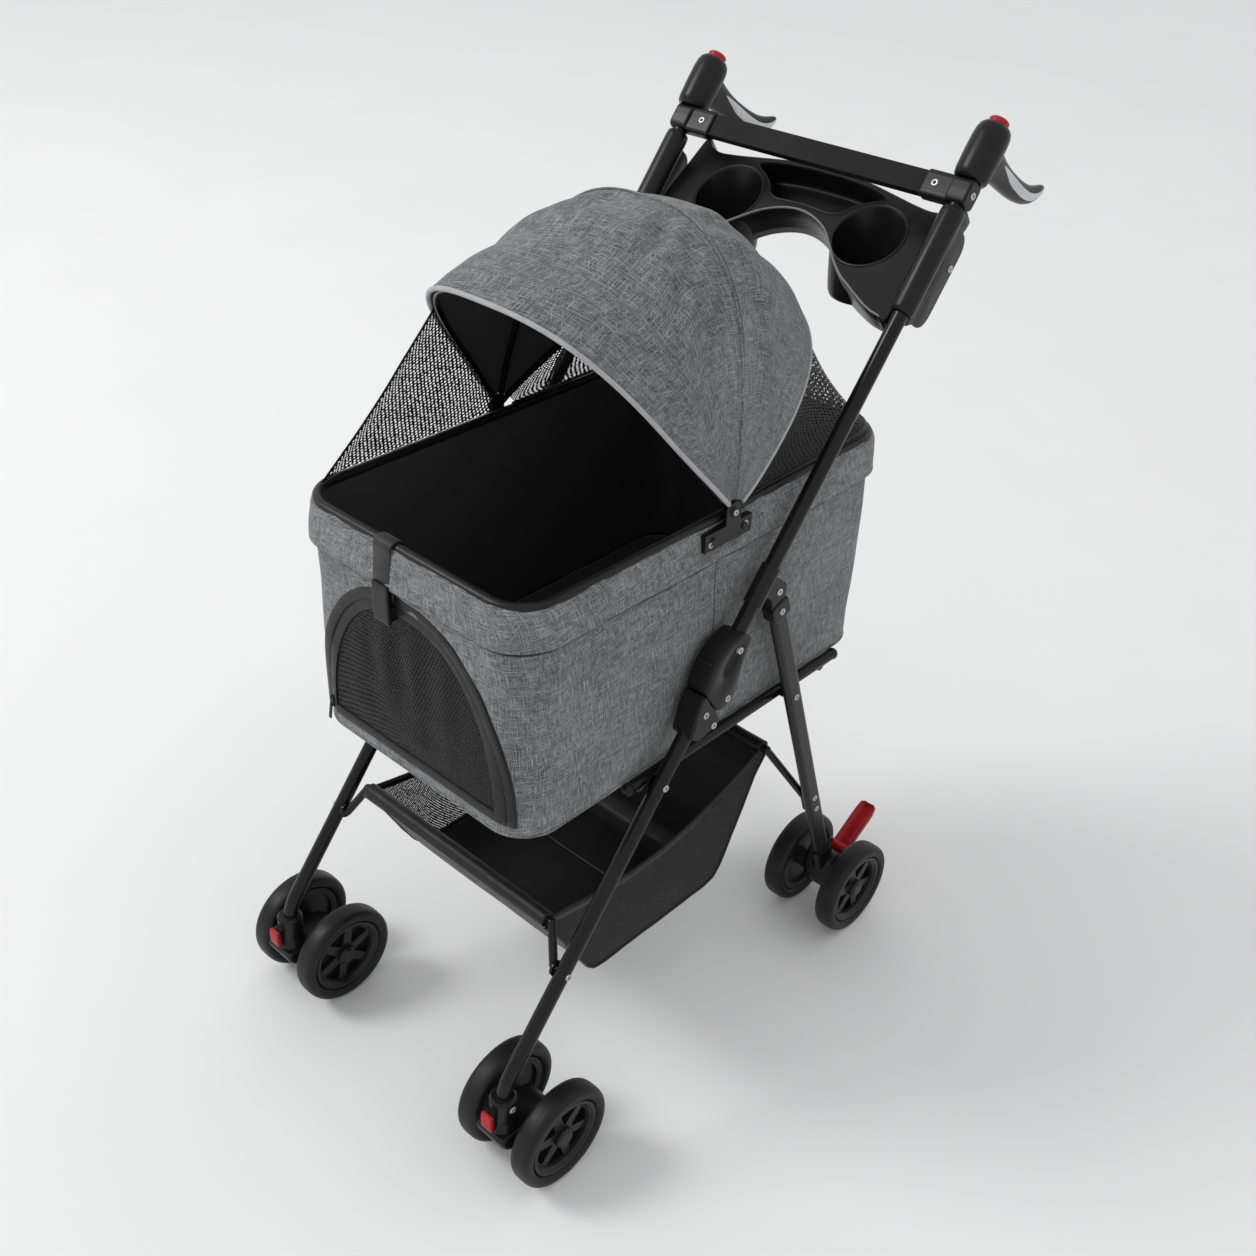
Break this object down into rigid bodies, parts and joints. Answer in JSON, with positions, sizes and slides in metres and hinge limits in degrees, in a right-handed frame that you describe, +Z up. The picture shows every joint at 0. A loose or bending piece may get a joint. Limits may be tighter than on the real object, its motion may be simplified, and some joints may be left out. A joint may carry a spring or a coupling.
{
  "type": "folding pet stroller",
  "caption": "Folding pet stroller: fabric cabin with a front door, mesh and canopy on a two-lever frame with castors, braked rear wheels, parent tray and storage basket.",
  "frame": {"origin": "centre of the bounding box on the floor", "axes": "+Z up, -Y towards the front castors, +X to the stroller's left-hand side as seen from the front"},
  "size_m": [0.488, 0.8528, 1.0211],
  "materials": {
    "frame_black": "satin",
    "leg_grey": "satin",
    "steel": "polished",
    "plastic_black": "matte",
    "plastic_red": "gloss",
    "grip_black": "soft matte",
    "wheel_grey": "satin",
    "tyre_black": "matte",
    "cabin_fabric": "heathered weave",
    "canopy_cloth": "heathered weave",
    "mesh": "open mesh",
    "mat": "quilted",
    "basket_cloth": "woven nylon",
    "strap": "webbing"
  },
  "bodies": {
    "frame": {"base_frame": "frame_black", "frame_rivets": "steel", "floor_mat": "mat", "cabin_shell": "cabin_fabric", "rim_frame": "frame_black", "canopy_hinge_plates": "plastic_black", "canopy_rear_bow": "frame_black", "canopy_fabric": "canopy_cloth", "buckle_socket": "strap", "mesh_covers": "mesh", "storage_basket": "basket_cloth"},
    "canopy_mid": {"canopy_mid_bow": "frame_black"},
    "canopy_front": {"canopy_front_bow": "frame_black"},
    "door": {"door_panel": "mesh", "buckle_plug": "plastic_black"},
    "front_legs": {"front_leg_tubes": "frame_black", "knuckle_lower": "plastic_black", "front_basket_frame": "frame_black", "castor_sockets": "plastic_black", "front_leg_rivets": "steel"},
    "rear_legs": {"rear_leg_tubes": "leg_grey", "rear_leg_caps": "plastic_black", "rear_basket_frame": "frame_black", "rear_wheel_housings": "plastic_black", "rear_leg_rivets": "steel"},
    "handle": {"handle_tubes": "frame_black", "knuckle_upper": "plastic_black", "leg_sleeves": "plastic_black", "crossbar": "frame_black", "crossbar_brackets": "plastic_black", "parent_tray": "plastic_black", "handle_fasteners": "steel"},
    "catch_r": {"release_catch_r": "plastic_red"},
    "grip_body_r": {"grip_r": "grip_black"},
    "button_body_r": {"button_r": "plastic_red"},
    "castor_r": {"castor_fork_r": "plastic_black", "castor_axle_r": "steel"},
    "lock_r": {"swivel_lock_r": "plastic_red"},
    "pedal_r": {"brake_pedal_r": "plastic_red"},
    "front_wheel_r_out": {"front_rim_r_out": "wheel_grey", "front_tyre_r_out": "tyre_black"},
    "front_wheel_r_in": {"front_rim_r_in": "wheel_grey", "front_tyre_r_in": "tyre_black"},
    "rear_wheels_r": {"rear_rims_r": "wheel_grey", "rear_tyres_r": "tyre_black", "rear_axle_r": "steel"},
    "catch_l": {"release_catch_l": "plastic_red"},
    "grip_body_l": {"grip_l": "grip_black"},
    "button_body_l": {"button_l": "plastic_red"},
    "castor_l": {"castor_fork_l": "plastic_black", "castor_axle_l": "steel"},
    "lock_l": {"swivel_lock_l": "plastic_red"},
    "pedal_l": {"brake_pedal_l": "plastic_red"},
    "front_wheel_l_out": {"front_rim_l_out": "wheel_grey", "front_tyre_l_out": "tyre_black"},
    "front_wheel_l_in": {"front_rim_l_in": "wheel_grey", "front_tyre_l_in": "tyre_black"},
    "rear_wheels_l": {"rear_rims_l": "wheel_grey", "rear_tyres_l": "tyre_black", "rear_axle_l": "steel"}
  },
  "joints": [
    {"name": "front_leg_fold", "type": "hinge", "parent": "frame", "child": "front_legs", "pos_m": [0, -0.17301, 0.417], "axis": [1, 0, 0], "range_deg": [0, 70.5], "deforming": ["storage_basket"]},
    {"name": "rear_leg_fold", "type": "hinge", "parent": "frame", "child": "rear_legs", "pos_m": [0, 0.05399, 0.417], "axis": [1, 0, 0], "range_deg": [0, 33.6], "deforming": ["storage_basket"]},
    {"name": "handle_fold", "type": "hinge", "parent": "front_legs", "child": "handle", "pos_m": [0, -0.08716, 0.49218], "axis": [1, 0, 0], "range_deg": [-118.77, 0], "deforming": ["cabin_shell", "rim_frame", "canopy_hinge_plates", "canopy_rear_bow", "canopy_mid_bow", "canopy_front_bow", "canopy_fabric", "mesh_covers", "storage_basket", "door_panel", "buckle_plug", "buckle_socket"]},
    {"name": "canopy_front", "type": "hinge", "parent": "frame", "child": "canopy_front", "pos_m": [0, -0.06552, 0.695], "axis": [1, 0, 0], "range_deg": [-78, 0], "deforming": ["canopy_fabric"]},
    {"name": "canopy_mid", "type": "hinge", "parent": "frame", "child": "canopy_mid", "pos_m": [0, -0.06552, 0.695], "axis": [1, 0, 0], "range_deg": [-39.5, 0], "deforming": ["canopy_fabric"]},
    {"name": "door_open", "type": "hinge", "parent": "frame", "child": "door", "pos_m": [0, -0.34592, 0.4353], "axis": [1, 0, 0], "range_deg": [0, 150]},
    {"name": "catch_slide_r", "type": "slide", "parent": "handle", "child": "catch_r", "axis": [0, 0.6252, 0.7804], "range_m": [0, 0.004], "stiffness_N_per_m": 120},
    {"name": "grip_turn_r", "type": "hinge", "parent": "handle", "child": "grip_body_r", "pos_m": [0.188, 0.26863, 0.96826], "axis": [0, 0.6252, 0.7804], "range_deg": [-90, 90]},
    {"name": "button_press_r", "type": "slide", "parent": "grip_body_r", "child": "button_body_r", "axis": [0, 0.6252, 0.7804], "range_m": [-0.004, 0], "stiffness_N_per_m": 400},
    {"name": "castor_swivel_r", "type": "hinge", "parent": "front_legs", "child": "castor_r", "pos_m": [0.188, -0.40052, 0.08], "axis": [0, 0, 1], "continuous": true},
    {"name": "lock_slide_r", "type": "slide", "parent": "front_legs", "child": "lock_r", "axis": [0, 0, 1], "range_m": [-0.006, 0]},
    {"name": "brake_press_r", "type": "hinge", "parent": "rear_legs", "child": "pedal_r", "pos_m": [0.188, 0.21148, 0.0825], "axis": [1, 0, 0], "range_deg": [-18, 0]},
    {"name": "rear_spin_r", "type": "hinge", "parent": "rear_legs", "child": "rear_wheels_r", "pos_m": [0.188, 0.18148, 0.0625], "axis": [1, 0, 0], "continuous": true},
    {"name": "front_spin_r_out", "type": "hinge", "parent": "castor_r", "child": "front_wheel_r_out", "pos_m": [0.23, -0.35852, 0.0625], "axis": [1, 0, 0], "continuous": true},
    {"name": "front_spin_r_in", "type": "hinge", "parent": "castor_r", "child": "front_wheel_r_in", "pos_m": [0.146, -0.35852, 0.0625], "axis": [1, 0, 0], "continuous": true},
    {"name": "catch_slide_l", "type": "slide", "parent": "handle", "child": "catch_l", "axis": [0, 0.6252, 0.7804], "range_m": [0, 0.004], "stiffness_N_per_m": 120},
    {"name": "grip_turn_l", "type": "hinge", "parent": "handle", "child": "grip_body_l", "pos_m": [-0.188, 0.26863, 0.96826], "axis": [0, 0.6252, 0.7804], "range_deg": [-90, 90]},
    {"name": "button_press_l", "type": "slide", "parent": "grip_body_l", "child": "button_body_l", "axis": [0, 0.6252, 0.7804], "range_m": [-0.004, 0], "stiffness_N_per_m": 400},
    {"name": "castor_swivel_l", "type": "hinge", "parent": "front_legs", "child": "castor_l", "pos_m": [-0.188, -0.40052, 0.08], "axis": [0, 0, 1], "continuous": true},
    {"name": "lock_slide_l", "type": "slide", "parent": "front_legs", "child": "lock_l", "axis": [0, 0, 1], "range_m": [-0.006, 0]},
    {"name": "brake_press_l", "type": "hinge", "parent": "rear_legs", "child": "pedal_l", "pos_m": [-0.188, 0.21148, 0.0825], "axis": [1, 0, 0], "range_deg": [-18, 0]},
    {"name": "rear_spin_l", "type": "hinge", "parent": "rear_legs", "child": "rear_wheels_l", "pos_m": [-0.188, 0.18148, 0.0625], "axis": [1, 0, 0], "continuous": true},
    {"name": "front_spin_l_out", "type": "hinge", "parent": "castor_l", "child": "front_wheel_l_out", "pos_m": [-0.23, -0.35852, 0.0625], "axis": [1, 0, 0], "continuous": true},
    {"name": "front_spin_l_in", "type": "hinge", "parent": "castor_l", "child": "front_wheel_l_in", "pos_m": [-0.146, -0.35852, 0.0625], "axis": [1, 0, 0], "continuous": true}
  ],
  "couplings": [
    {"joint": "front_leg_fold", "follows": "handle_fold", "ratio": -0.58937},
    {"joint": "rear_leg_fold", "follows": "handle_fold", "ratio": -0.27978},
    {"joint": "canopy_mid", "follows": "canopy_front", "ratio": 0.5}
  ]
}
